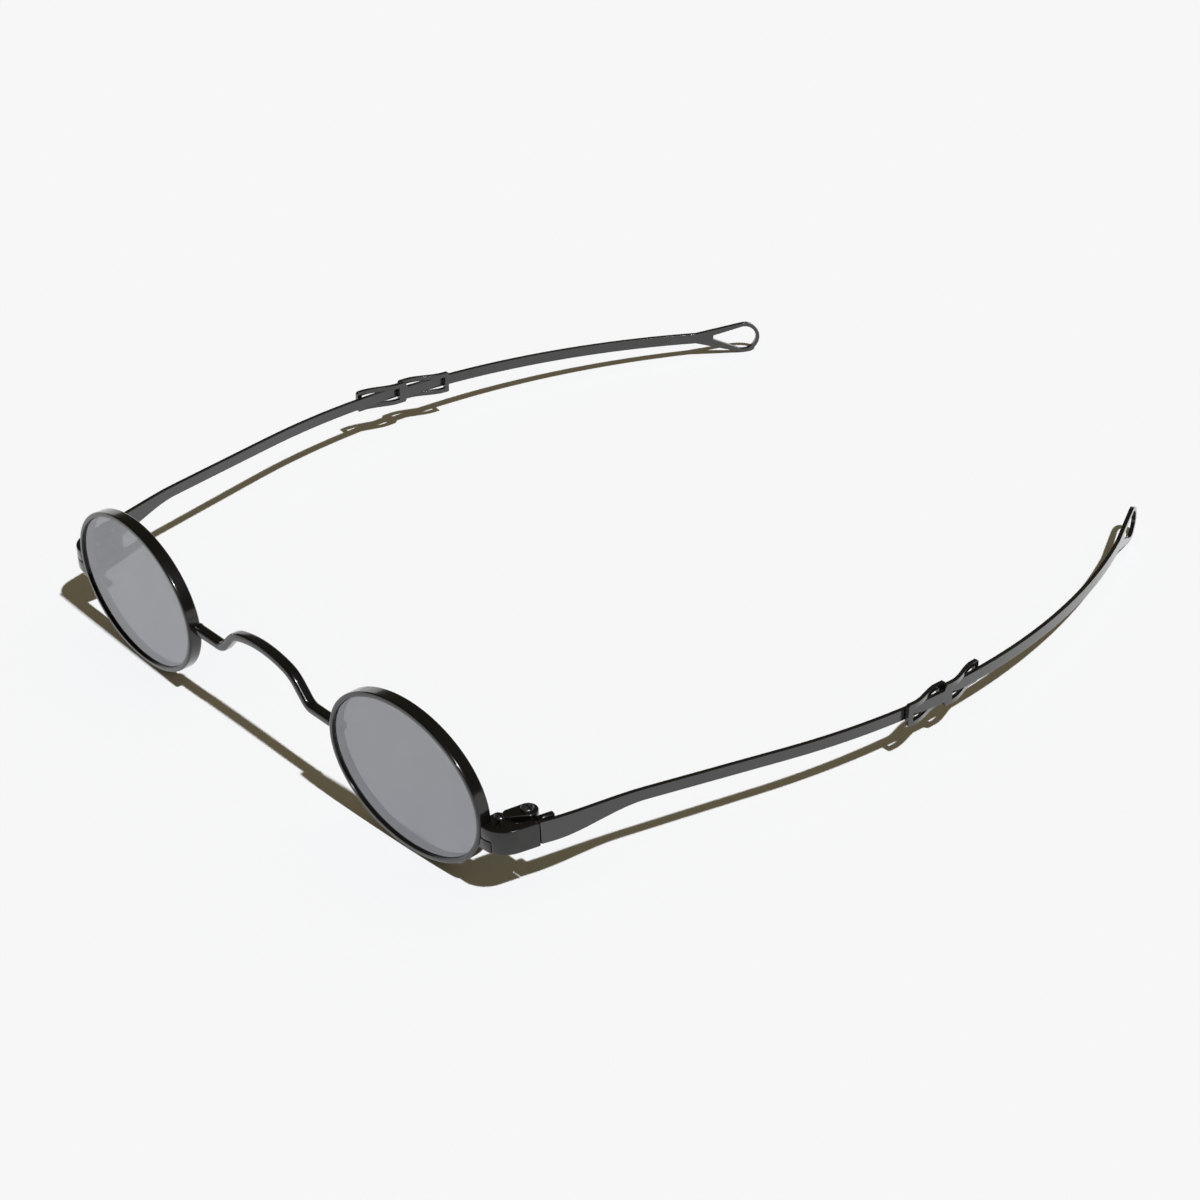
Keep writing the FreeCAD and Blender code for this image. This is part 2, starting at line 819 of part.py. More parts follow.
def make_loop():
    """The end of the inner strip: a flare and a flat teardrop of wire, straight on from the arc."""
    half = strip_height / 2
    centre = Vector(tip - tail - loop_radius, loop_drop(), 0)
    flare = float(sheet.flare_length)
    outer = drop_outline(0.0, half, centre, loop_radius)
    inner = drop_outline(flare, half * 0.45, centre, loop_radius - loop_wire)
    wide = loop_radius * 2
    lower = place(tail, -step - thickness / 2, -wide)
    across = lay_across(tail)
    onward = along(tail) * (tip - tail)
    footprint = Part.makePolygon([lower, lower + across, lower + across + onward, lower + onward, lower])
    blank = Part.Face(footprint).extrude(Vector(0, 0, wide * 2))
    return blank.common(side_view(tail, outer)).cut(side_view(tail, inner))


def lay_across(length):
    angle = turned_by(length)
    return Vector(math.cos(angle), math.sin(angle), 0) * thickness


def seam_tool():
    """Everything in front of the seam, in the temple's own frame."""
    half = plate_height * 10
    box = Part.makeBox(half * 2, half * 2, half * 2, Vector(-half, -half * 2, -half) + seam_point)
    box.Placement = temple_place.inverse().multiply(box.Placement)
    return box


def make_strip(label, solids):
    whole = solids[0].fuse(solids[1:]).removeSplitter()
    strip = add("Part::Feature", label)
    strip.Shape = whole
    strip.Placement = temple_place
    return strip


def make_temple_bar():
    early = -2 * thickness
    root = ribbon([(early, straight, 0, 0)], -plate_height * 2, plate_height * 2)
    root = root.common(side_view(0, root_outline())).cut(seam_tool())
    bar = ribbon([(straight, joint - overlap * 1.5, 0, 0)], -strip_height / 2, strip_height / 2)
    return make_strip("left_temple_bar", [root, bar, plate(1, 0, -2 * step)])


def make_sliding_bar():
    bar = ribbon([(joint + overlap * 1.5, tail, -step, -step)], -strip_height / 2, strip_height / 2)
    return make_strip("left_sliding_bar", [plate(-1, -step, step), bar, make_loop()])


# The left side, then its mirror image
eyewire = make_eyewire()
lens = make_lens()
blank = endpiece_blank()
endpiece = make_endpiece(blank)
closing_block = make_closing_block(blank)
closing_screw = make_screw(
    "left_closing_screw",
    closing_screw_x,
    closing_screw_y,
    endpiece_top,
    size("closing_screw_radius"),
    size("closing_head_radius"),
    size("closing_head_height"),
    size("closing_screw_length"),
)
temple_bar = make_temple_bar()
sliding_bar = make_sliding_bar()
front_leaf = make_front_leaf(blank)
temple_leaf = make_temple_leaf(temple_bar)
hinge_screw = make_screw(
    "left_hinge_screw",
    hinge_x,
    hinge_y,
    stack_top,
    size("hinge_screw_radius"),
    size("hinge_head_radius"),
    size("hinge_head_height"),
    stack_height,
)
bridge = make_bridge()
doc.recompute()

left_side = [
    eyewire,
    lens,
    endpiece,
    closing_block,
    closing_screw,
    front_leaf,
    hinge_screw,
    temple_leaf,
    temple_bar,
    sliding_bar,
]
right_side = []
for piece in left_side:
    twin = add("Part::Mirroring", piece.Label.replace("left_", "right_"))
    twin.Source = piece
    twin.Normal = Vector(1, 0, 0)
    right_side.append(twin)
doc.recompute()

pieces = [bridge] + left_side + right_side

for thing in doc.Objects:
    for state in ("Invalid", "Error"):
        if state in thing.State:
            raise RuntimeError(f"{thing.Label} is {state}")

# The origin is under the middle of the open spectacles, on the table
whole = Part.makeCompound([piece.Shape for piece in pieces]).optimalBoundingBox()
to_origin = Vector(0, -(whole.YMin + whole.YMax) / 2, 0)

os.makedirs("parts", exist_ok=True)
for piece in pieces:
    shape = piece.Shape
    if shape.isNull() or not shape.isValid() or not shape.Solids:
        raise RuntimeError(f"{piece.Label} has no valid solid")
    print(f"{piece.Label}: {len(shape.Solids)} solid, {shape.Volume:.2f} mm3")
    moved = shape.translated(to_origin)
    moved.exportStep(f"parts/{piece.Label}.step")
print(f"whole: y {whole.YMin:.3f}..{whole.YMax:.3f} z {whole.ZMin:.3f}..{whole.ZMax:.3f}")
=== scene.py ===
import math

import bpy
from mathutils import Matrix, Vector


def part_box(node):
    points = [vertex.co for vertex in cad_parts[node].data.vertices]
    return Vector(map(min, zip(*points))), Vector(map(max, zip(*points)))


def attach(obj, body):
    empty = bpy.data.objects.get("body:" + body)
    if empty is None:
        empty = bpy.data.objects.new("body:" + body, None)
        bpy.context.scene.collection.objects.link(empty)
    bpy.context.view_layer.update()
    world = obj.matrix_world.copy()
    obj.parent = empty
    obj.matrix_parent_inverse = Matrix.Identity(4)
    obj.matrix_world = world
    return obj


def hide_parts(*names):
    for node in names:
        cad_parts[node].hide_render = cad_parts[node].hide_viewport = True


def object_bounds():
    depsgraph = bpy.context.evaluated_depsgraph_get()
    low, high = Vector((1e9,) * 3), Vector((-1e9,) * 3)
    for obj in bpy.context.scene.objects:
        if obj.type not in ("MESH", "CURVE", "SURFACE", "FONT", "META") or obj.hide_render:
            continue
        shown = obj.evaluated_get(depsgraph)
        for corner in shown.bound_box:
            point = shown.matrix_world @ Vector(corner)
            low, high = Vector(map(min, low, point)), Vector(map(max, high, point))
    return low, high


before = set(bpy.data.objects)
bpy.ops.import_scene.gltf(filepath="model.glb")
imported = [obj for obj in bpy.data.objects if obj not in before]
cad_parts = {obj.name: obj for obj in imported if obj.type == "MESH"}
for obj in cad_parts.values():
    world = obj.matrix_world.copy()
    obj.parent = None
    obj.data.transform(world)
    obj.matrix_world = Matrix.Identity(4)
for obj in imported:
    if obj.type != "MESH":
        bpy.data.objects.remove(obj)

CAD_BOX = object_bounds()

bl_info = {
    "name": "Oval Spectacles",
    "version": (1, 0, 0),
    "blender": (4, 5, 0),
    "location": "View3D > Sidebar > Spectacles",
    "description": "Dresses folding spectacles with oval rims and sliding temples",
    "category": "Object",
}

MM = 0.001
SIDES = (("left", 1), ("right", -1))

# Points closer together than this are one point
WELD_GAP = 0.001 * MM
# A face looks along an axis when more than this share of its normal does
FACING = 0.9
# How many straight pieces the ovals, the round hinge parts and the stage's circles have
OVAL_STEPS = 180
HINGE_STEPS = 64
STAGE_STEPS = 96
# The middle of a noise's range
EVEN = 0.5

# The black nodes with the gloss of the wire, and those with the gloss of the strips
WIRE_NODES = ("eyewire", "endpiece", "closing_block", "front_hinge_leaf", "temple_hinge_leaf")
STRIP_NODES = ("temple_bar", "sliding_bar")
SCREW_NODES = ("closing_screw", "hinge_screw")


def node_names(kinds):
    """The CAD nodes of both sides that are of the given kinds."""
    return [f"{side}_{kind}" for side, _ in SIDES for kind in kinds]


class Field:
    """A shader value that can be written in an expression."""

    def __init__(self, finish, socket):
        self.finish = finish
        self.socket = socket

    def _with(self, operation, first, second):
        node = self.finish.node("Math", {"operation": operation}, **{"0": first, "1": second})
        return Field(self.finish, node.outputs[0])

    def __add__(self, other):
        return self._with("ADD", self, other)

    def __radd__(self, other):
        return self._with("ADD", other, self)

    def __sub__(self, other):
        return self._with("SUBTRACT", self, other)

    def __mul__(self, other):
        return self._with("MULTIPLY", self, other)


class Finish:
    """A procedural material that is put together from named surface features."""

    def __init__(self, name):
        self.material = bpy.data.materials.new(name)
        self.material.use_nodes = True
        self.tree = self.material.node_tree
        self.tree.nodes.clear()
        self.output = self.node("OutputMaterial", {})
        self.place = self.node("TexCoord", {}).outputs["Object"]

    def node(self, kind, settings, **sockets):
        """Adds a node: its settings first, then the values or links of its sockets."""
        node = self.tree.nodes.new(f"ShaderNode{kind}")
        for name, value in settings.items():
            if name == "stops":
                self._set_stops(node, value)
            else:
                setattr(node, name, value)
        for name, value in sockets.items():
            socket = node.inputs[int(name)] if name.isdigit() else node.inputs[name.replace("_", " ")]
            self.feed(socket, value)
        return node

    def _set_stops(self, node, stops):
        for element, (position, colour) in zip(node.color_ramp.elements, stops):
            element.position = position
            element.color = colour

    def feed(self, socket, value):
        if isinstance(value, Field):
            value = value.socket
        if isinstance(value, bpy.types.NodeSocket):
            self.tree.links.new(value, socket)
        else:
            socket.default_value = value

    def noise(self, scale, detail, stretch=(1.0, 1.0, 1.0)):
        """A cloud of values from 0 to 1, at a scale in features for each metre."""
        mapping = self.node("Mapping", {}, Vector=self.place, Scale=stretch)
        texture = self.node(
            "TexNoise", {}, Vector=mapping.outputs[0], Scale=scale, Detail=detail, Roughness=0.55
        )
        return Field(self, texture.outputs["Fac"])

    def ramp(self, value, *stops):
        """A colour that runs between two stops, each a value and its colour."""
        node = self.node("ValToRGB", {"stops": stops}, Fac=value)
        return node.outputs["Color"]

    def surface(self, **sockets):
        """Ends the material in one Principled surface."""
        shader = self.node("BsdfPrincipled", {}, **sockets)
        self.feed(self.output.inputs["Surface"], shader.outputs[0])
        return self.material


def grey(level):
    return (level, level, level, 1.0)


def black_enamel(settings, name, gloss):
    """Stoved black enamel over steel: a fine orange peel, softened edges and dust-fine grain."""
    finish = Finish(name)
    peel = finish.noise(scale=2600.0, detail=2.0)
    grain = finish.noise(scale=14000.0, detail=1.0)
    patches = finish.noise(scale=90.0, detail=3.0)
    low, high = tuple(settings.enamel), tuple(settings.enamel_worn)
    colour = finish.ramp(patches, (0.35, (*low, 1.0)), (0.75, (*high, 1.0)))
    edges = finish.node("Bevel", {"samples": 6}, Radius=settings.edge_round)
    peel_share, grain_share = 0.6, 0.4
    grain_spread, patch_spread = 0.12, 0.06
    specular_share = 0.58
    bump = finish.node(
        "Bump",
        {},
        Strength=settings.peel_strength,
        Distance=settings.peel_depth,
        Height=peel * peel_share + grain * grain_share,
        Normal=edges.outputs[0],
    )
    roughness = settings.enamel_roughness + (grain - EVEN) * grain_spread + (patches - EVEN) * patch_spread
    return finish.surface(
        Base_Color=colour,
        Roughness=roughness,
        Specular_IOR_Level=gloss * specular_share,
        Coat_Weight=gloss,
        Coat_Roughness=0.07,
        Normal=bump.outputs[0],
    )


def screw_metal(settings):
    """Black oxide screws that show a little steel on their turned faces."""
    finish = Finish("black_oxide_screw")
    turned = finish.noise(scale=5200.0, detail=2.0, stretch=(1.0, 1.0, 0.2))
    wear = finish.noise(scale=1500.0, detail=3.0)
    oxide, steel = tuple(settings.oxide), tuple(settings.bare_steel)
    colour = finish.ramp(wear, (0.45, (*oxide, 1.0)), (0.85, (*steel, 1.0)))
    edge_share = 0.6
    smoothest, turned_spread = 0.2, 0.18
    edges = finish.node("Bevel", {"samples": 6}, Radius=settings.edge_round * edge_share)
    bump = finish.node(
        "Bump", {}, Strength=0.25, Distance=settings.peel_depth, Height=turned, Normal=edges.outputs[0]
    )
    return finish.surface(
        Base_Color=colour,
        Metallic=0.75,
        Roughness=smoothest + turned * turned_spread,
        Coat_Weight=0.3,
        Coat_Roughness=0.05,
        Normal=bump.outputs[0],
    )


def flash_lens(settings, name, density):
    """A dark grey lens under a thin silver flash coat, with the faintest wipe marks."""
    finish = Finish(name)
    wipes = finish.noise(scale=130.0, detail=4.0, stretch=(1.0, 1.0, 0.35))
    grain = finish.noise(scale=6500.0, detail=1.0)
    wipe_shade, wipe_spread, grain_spread = 0.93, 0.05, 0.02
    tint = tuple(settings.flash_tint)
    deeper = tuple(wipe_shade * part for part in tint)
    colour = finish.ramp(wipes, (0.3, (*deeper, 1.0)), (0.7, (*tint, 1.0)))
    return finish.surface(
        Base_Color=colour,
        Metallic=1.0,
        Roughness=settings.lens_roughness + wipes * wipe_spread + grain * grain_spread,
        Alpha=density,
    )


def ground_edge(settings):
    """The ground glass of a lens's edge and of its fine bevel."""
    finish = Finish("ground_lens_edge")
    grit = finish.noise(scale=9000.0, detail=2.0)
    clouds = finish.noise(scale=700.0, detail=3.0)
    cloud_shade, smoothest, grit_spread = 0.86, 0.45, 0.2
    pale = tuple(settings.ground_tint)
    duller = tuple(cloud_shade * part for part in pale)
    colour = finish.ramp(clouds, (0.3, (*duller, 1.0)), (0.7, (*pale, 1.0)))
    bump = finish.node("Bump", {}, Strength=0.2, Distance=0.01 * MM, Height=grit)
    roughness = smoothest + grit * grit_spread
    return finish.surface(Base_Color=colour, Roughness=roughness, Normal=bump.outputs[0])


def coat(node, material):
    """Puts a material on every slot of a CAD node."""
    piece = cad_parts[node]
    piece.data.materials.clear()
    piece.data.materials.append(material)


def deselect():
    if bpy.context.object and bpy.context.object.mode != "OBJECT":
        bpy.ops.object.mode_set(mode="OBJECT")
    bpy.ops.object.select_all(action="DESELECT")


def settle(name, body, material, smooth=35):
    """Finishes a new piece: its place goes into its mesh, and it rides on its body."""
    piece = bpy.context.object
    bpy.ops.object.transform_apply(location=True, rotation=True, scale=True)
    piece.name = piece.data.name = name
    bpy.ops.object.shade_smooth_by_angle(angle=math.radians(smooth))
    even = piece.modifiers.new("even_shading", "WEIGHTED_NORMAL")
    even.keep_sharp = True
    bpy.ops.object.modifier_apply(modifier=even.name)
    piece.data.materials.clear()
    piece.data.materials.append(material)
    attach(piece, body)
    return piece


def select_nothing(mesh):
    for parts in (mesh.polygons, mesh.edges, mesh.vertices):
        for part in parts:
            part.select = False


def faces_where(piece, wanted):
    """Selects, in edit mode, the faces whose normal is wanted."""
    bpy.ops.object.mode_set(mode="OBJECT")
    mesh = piece.data
    select_nothing(mesh)
    for face in mesh.polygons:
        face.select = wanted(face.normal)
        if face.select:
            for index in face.vertices:
                mesh.vertices[index].select = True
    bpy.ops.object.mode_set(mode="EDIT")
    bpy.ops.mesh.select_mode(type="FACE")


def length_setting(name, description, millimetres):
    return bpy.props.FloatProperty(
        name=name, description=description, default=millimetres * MM, unit="LENGTH"
    )


def angle_setting(name, description, degrees):
    return bpy.props.FloatProperty(
        name=name, description=description, default=math.radians(degrees), subtype="ANGLE"
    )


def share_setting(name, description, share):
    return bpy.props.FloatProperty(name=name, description=description, default=share, min=0.0, max=1.0)


def colour_setting(name, description, colour):
    return bpy.props.FloatVectorProperty(
        name=name, description=description, default=colour, subtype="COLOR", size=3
    )


class SizeSettings(bpy.types.PropertyGroup):
    rim_face: length_setting("Rim face", "Width of the rim seen from the front", 0.8)
    rim_depth: length_setting("Rim depth", "Depth of the rim wire", 2.2)
    wrap: angle_setting("Wrap", "How far each eye is turned", 2.6)
    rim_outer_round: length_setting("Outer round", "Radius of the rim's outer corners", 0.3)
    rim_inner_round: length_setting("Inner round", "Radius of the rim's inner corners", 0.08)
    lens_gap: length_setting("Lens gap", "From a lens's edge to its rim", 0.01)
    lens_bevel: length_setting("Lens bevel", "Width of a lens's fine bevel", 0.12)
    lens_set_back: length_setting("Lens set back", "From the rim's front to the lens", 0.4)
    lens_thickness: length_setting("Lens thickness", "Thickness of a lens", 1.7)
    knuckle_radius: length_setting("Knuckle radius", "Radius of the hinge", 1.6)
    ear_height: length_setting("Ear height", "Height of each hinge ear", 1.3)
    ear_taper: bpy.props.FloatProperty(
        name="Ear taper", description="Narrow end of an ear against its round end", default=0.62, min=0.1
    )
    screw_room: length_setting("Screw room", "From the closing screw to an ear", 0.75)
    tab_start: length_setting("Tab start", "From the seam to the tab", 0.85)
    tab_length: length_setting("Tab length", "Length of the tab on the temple", 2.0)
    tab_thickness: length_setting("Tab thickness", "Thickness of the tab", 0.9)
    tab_rise: length_setting("Tab rise", "How far the tab stands above the endpiece", 0.3)
    strip_thickness: length_setting("Strip thickness", "Thickness of the temple strips", 0.7)
    splay: angle_setting("Splay", "How far each temple leans out", 12.0)
    edge_bevel: length_setting("Edge bevel", "Width of the rounded edges", 0.22)
    bridge_thickness: length_setting("Bridge thickness", "Height of the bridge wire", 1.4)
    bridge_depth: length_setting("Bridge depth", "Depth of the bridge wire", 1.9)
    bridge_dip: length_setting("Bridge dip", "From the middle to each dip", 12.4)
    bridge_shoulder: length_setting("Shoulder bend", "Radius beside the crown", 6.0)
    bridge_steep: angle_setting("Side slope", "Slope of the sides", 46.0)
    bridge_shallow: angle_setting("Crown slope", "Slope of the crown's ends", 16.0)
    bridge_dip_bend: length_setting("Dip bend", "Radius of the wire's middle in a dip", 2.5)


class EnamelSettings(bpy.types.PropertyGroup):
    enamel: colour_setting("Enamel", "Colour of the enamel", (0.0035, 0.0031, 0.0026))
    enamel_worn: colour_setting("Thin enamel", "Colour where the enamel is thin", (0.006, 0.0056, 0.0052))
    enamel_roughness: share_setting("Roughness", "Roughness under the clear layer", 0.2)
    wire_gloss: share_setting("Wire gloss", "How strongly the wire and hinges shine", 0.55)
    strip_gloss: share_setting("Strip gloss", "How strongly the strips shine", 0.9)
    edge_round: length_setting("Edge round", "How far edges look rounded", 0.16)
    peel_depth: length_setting("Peel depth", "Depth of the orange peel", 0.02)
    peel_strength: share_setting("Peel strength", "Strength of the orange peel", 0.28)
    oxide: colour_setting("Oxide", "Colour of the oxidised screws", (0.035, 0.034, 0.033))
    bare_steel: colour_setting("Bare steel", "Colour of rubbed screw faces", (0.22, 0.22, 0.22))


class LensSettings(bpy.types.PropertyGroup):
    flash_tint: colour_setting("Flash tint", "Colour that the coat mirrors", (0.222, 0.226, 0.247))
    lens_roughness: share_setting("Roughness", "Roughness of the coat", 0.05)
    lens_density: share_setting("Density", "Share of light that the coat stops", 0.89)
    back_density: share_setting("Back density", "Share of light the back stops", 0.12)
    ground_tint: colour_setting("Ground tint", "Colour of the ground edge", (0.42, 0.43, 0.46))


class SolderSettings(bpy.types.PropertyGroup):
    flare_length: length_setting("Flare length", "Length of the solder flare", 0.45)
    flare_sink: length_setting("Flare sink", "How far a flare goes into the rim", 0.3)
    flare_spread: bpy.props.FloatProperty(
        name="Flare spread", description="How much wider the flare's foot is", default=1.12, min=1.0
    )


class StageSettings(bpy.types.PropertyGroup):
    floor_colour: share_setting("Floor", "Brightness of the floor in the light", 0.93)
    floor_albedo: share_setting("Floor albedo", "Share of light the floor returns", 0.8)
    shade: colour_setting("Shade", "Colour of the floor in shadow", (0.112, 0.093, 0.056))
    ceiling: bpy.props.FloatProperty(
        name="Ceiling", description="How bright the dark ceiling is in reflections", default=0.4, min=0.0
    )
    lean: bpy.props.FloatVectorProperty(
        name="Lean of the light", description="Sideways run of the light for each unit of drop", size=2,
        default=(-0.65, 0.02),
    )
    softness: angle_setting("Softness", "Angular size of the lamp", 1.6)


class SPECTACLES_OT_enamel(bpy.types.Operator):
    """Enamel the rims, bridge, hinges and temples"""

    bl_idname = "spectacles.enamel"
    bl_label = "Enamel the metal"

    def execute(self, context):
        settings = context.scene.spectacles_enamel
        for name, nodes, gloss in (
            ("black_enamel", ["bridge"] + node_names(WIRE_NODES), settings.wire_gloss),
            ("strip_enamel", node_names(STRIP_NODES), settings.strip_gloss),
        ):
            material = black_enamel(settings, name, gloss)
            for node in nodes:
                coat(node, material)
        return {"FINISHED"}


class SPECTACLES_OT_screws(bpy.types.Operator):
    """Finish the closing screws and the hinge screws"""

    bl_idname = "spectacles.screws"
    bl_label = "Finish the screws"

    def execute(self, context):
        material = screw_metal(context.scene.spectacles_enamel)
        for node in node_names(SCREW_NODES):
            coat(node, material)
        return {"FINISHED"}


def context_sizes():
    return bpy.context.scene.spectacles_sizes


def eye_place(side, sign, wrap):
    """The centre of an eyewire, turned as the front wraps, and its two half widths."""
    low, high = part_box(f"{side}_eyewire")
    half_depth = context_sizes().rim_depth / 2
    half_width = ((high.x - low.x) / 2 - half_depth * math.sin(wrap)) / math.cos(wrap)
    place = Matrix.Translation((low + high) / 2) @ Matrix.Rotation(sign * wrap, 4, "Z")
    return place, half_width, (high.z - low.z) / 2


def wire_section(face, depth, outer_round, inner_round, steps=5):
    """The section of the rim wire: places as how far in from the rim's edge, and how deep."""
    corners = (
        (0.0, -depth / 2, outer_round, 1, 1),
        (face, -depth / 2, inner_round, -1, 1),
        (face, depth / 2, inner_round, -1, -1),
        (0.0, depth / 2, outer_round, 1, -1),
    )
    places = []
    for index, (inset, back, radius, inwards, onwards) in enumerate(corners):
        centre = (inset + radius * inwards, back + radius * onwards)
        for step in range(steps + 1):
            angle = math.pi + math.pi / 2 * (index + step / steps)
            places.append((centre[0] + radius * math.cos(angle), centre[1] + radius * math.sin(angle)))
    return places


def make_rim(half_width, half_height, section):
    """A ring of wire about the origin, drawn out from one oval to the next along its section."""
    deselect()
    inset, back = section[0]
    bpy.ops.mesh.primitive_circle_add(
        vertices=OVAL_STEPS, radius=1.0, rotation=(math.pi / 2, 0, 0), location=(0, back, 0)
    )
    rim = bpy.context.object
    rim.scale = (half_width - inset, half_height - inset, 1.0)
    bpy.ops.object.transform_apply(location=True, rotation=True, scale=True)
    bpy.ops.object.mode_set(mode="EDIT")
    bpy.ops.mesh.select_mode(type="EDGE")
    bpy.ops.mesh.select_all(action="SELECT")
    for next_inset, next_back in section[1:] + section[:1]:
        bpy.ops.mesh.extrude_region_move(TRANSFORM_OT_translate={"value": (0, next_back - back, 0)})
        narrower = (half_width - next_inset) / (half_width - inset)
        lower = (half_height - next_inset) / (half_height - inset)
        bpy.ops.transform.resize(value=(narrower, 1.0, lower))
        inset, back = next_inset, next_back
    bpy.ops.mesh.select_all(action="SELECT")
    bpy.ops.mesh.remove_doubles(threshold=WELD_GAP)
    bpy.ops.mesh.normals_make_consistent(inside=False)
    bpy.ops.object.mode_set(mode="OBJECT")
    return rim


class SPECTACLES_OT_rims(bpy.types.Operator):
    """Draw the two rims of rounded wire"""

    bl_idname = "spectacles.rims"
    bl_label = "Draw the rims"

    def execute(self, context):
        sizes = context_sizes()
        material = bpy.data.materials["black_enamel"]
        section = wire_section(
            sizes.rim_face, sizes.rim_depth, sizes.rim_outer_round, sizes.rim_inner_round
        )
        for side, sign in SIDES:
            place, half_width, half_height = eye_place(side, sign, sizes.wrap)
            rim = make_rim(half_width, half_height, section)
            rim.data.transform(place)
            settle(f"{side}_rim", "front", material, smooth=60)
            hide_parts(f"{side}_eyewire")
        return {"FINISHED"}


def make_lens(half_width, half_height, thickness, front, bevel):
    """A flat oval lens with broken edges, whose face lies at front behind the rim's middle."""
    deselect()
    bpy.ops.mesh.primitive_circle_add(
        vertices=OVAL_STEPS, radius=1.0, fill_type="NGON", rotation=(math.pi / 2, 0, 0)
    )
    lens = bpy.context.object
    lens.scale = (half_width, half_height, 1.0)
    lens.location = (0, front, 0)
    bpy.ops.object.transform_apply(location=True, rotation=True, scale=True)
    bpy.ops.object.mode_set(mode="EDIT")
    bpy.ops.mesh.select_mode(type="FACE")
    bpy.ops.mesh.select_all(action="SELECT")
    bpy.ops.mesh.extrude_region_move(TRANSFORM_OT_translate={"value": (0, thickness, 0)})
    faces_where(lens, lambda normal: abs(normal.y) > FACING)
    bpy.ops.mesh.bevel(offset=bevel, segments=2, affect="EDGES")
    bpy.ops.mesh.select_all(action="SELECT")
    bpy.ops.mesh.normals_make_consistent(inside=False)
    bpy.ops.object.mode_set(mode="OBJECT")
    return lens


class SPECTACLES_OT_lenses(bpy.types.Operator):
    """Cut, seat and coat the two lenses"""

    bl_idname = "spectacles.lenses"
    bl_label = "Seat the lenses"

    def execute(self, context):
        sizes = context_sizes()
        settings = context.scene.spectacles_lens
        coated = flash_lens(settings, "flash_grey_lens", settings.lens_density)
        bare = flash_lens(settings, "bare_grey_lens", settings.back_density)
        ground = ground_edge(settings)
        edge = sizes.rim_face + sizes.lens_gap
        front_slot, back_slot, edge_slot = range(3)
        for side, sign in SIDES:
            place, half_width, half_height = eye_place(side, sign, sizes.wrap)
            front = sizes.lens_set_back - sizes.rim_depth / 2
            lens = make_lens(
                half_width - edge, half_height - edge, sizes.lens_thickness, front, sizes.lens_bevel
            )
            lens.data.transform(place)
            settle(f"{side}_flash_lens", "front", coated)
            lens.data.materials.append(bare)
            lens.data.materials.append(ground)
            for face in lens.data.polygons:
                if abs(face.normal.y) < FACING:
                    face.material_index = edge_slot
                else:
                    face.material_index = back_slot if face.normal.y > 0 else front_slot
            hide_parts(f"{side}_lens")
        return {"FINISHED"}


class SPECTACLES_OT_bridge(bpy.types.Operator):
    """Bend the bridge from flat wire"""

    bl_idname = "spectacles.bridge"
    bl_label = "Bend the bridge"

    def execute(self, context):
        sizes = context_sizes()
        low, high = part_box("bridge")
        thick, tight, shoulder = sizes.bridge_thickness, sizes.bridge_dip_bend, sizes.bridge_shoulder
        steep, shallow = sizes.bridge_steep, sizes.bridge_shallow
        foot_x, foot_z, top_z = high.x, low.z + thick / 2, high.z - thick / 2
        # What the two bends cover leaves the rest of the width and rise to the straight and the crown
        width = sizes.bridge_dip - tight * math.sin(steep)
        width -= shoulder * (math.sin(steep) - math.sin(shallow))
        rise = top_z - foot_z - tight * (1 - math.cos(steep))
        rise -= shoulder * (math.cos(shallow) - math.cos(steep))
        half_turn = math.tan(shallow / 2)
        side = (rise - width * half_turn) / (math.sin(steep) - math.cos(steep) * half_turn)
        crown = (width - side * math.cos(steep)) / math.sin(shallow)
        middle_y = (low.y + high.y) / 2
        corner_share = 0.38
        bend_steps, crown_steps = 12, 32

        deselect()
        bpy.ops.mesh.primitive_plane_add(
            size=1.0, rotation=(0, math.pi / 2, 0), location=(foot_x, middle_y, foot_z)
        )
        wire = bpy.context.object
        wire.scale = (thick, sizes.bridge_depth, 1.0)
        bpy.ops.object.transform_apply(location=True, rotation=True, scale=True)
        bpy.ops.object.mode_set(mode="EDIT")
        bpy.ops.mesh.select_mode(type="FACE")
        bpy.ops.mesh.select_all(action="SELECT")
        bpy.ops.mesh.bevel(offset=thick * corner_share, segments=6, affect="VERTICES")
        bpy.ops.mesh.select_all(action="SELECT")
        end = Vector((foot_x, middle_y, foot_z))
        heading = 0.0
        for length, bend, turn, steps in (
            (foot_x - sizes.bridge_dip, tight, steep, bend_steps),
            (side, shoulder, shallow - steep, bend_steps),
            (0.0, crown, -shallow * 2, crown_steps),
            (0.0, shoulder, shallow - steep, bend_steps),
            (side, tight, steep, bend_steps),
            (foot_x - sizes.bridge_dip, 0.0, 0.0, 0),
        ):
            if length:
                ahead = Vector((-math.cos(heading), 0, math.sin(heading))) * length
                bpy.ops.mesh.extrude_region_move(TRANSFORM_OT_translate={"value": ahead})
                end += ahead
            if steps:
                lift = math.copysign(bend, turn)
                centre = end + Vector((math.sin(heading), 0, math.cos(heading))) * lift
                bpy.ops.mesh.spin(steps=steps, angle=-turn, center=centre, axis=(0, 1, 0))
                heading += turn
                end = centre - Vector((math.sin(heading), 0, math.cos(heading))) * lift
        bpy.ops.mesh.select_all(action="SELECT")
        bpy.ops.mesh.normals_make_consistent(inside=False)
        bpy.ops.object.mode_set(mode="OBJECT")
        settle("bridge_wire", "front", bpy.data.materials["black_enamel"], smooth=50)
        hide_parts("bridge")
        return {"FINISHED"}


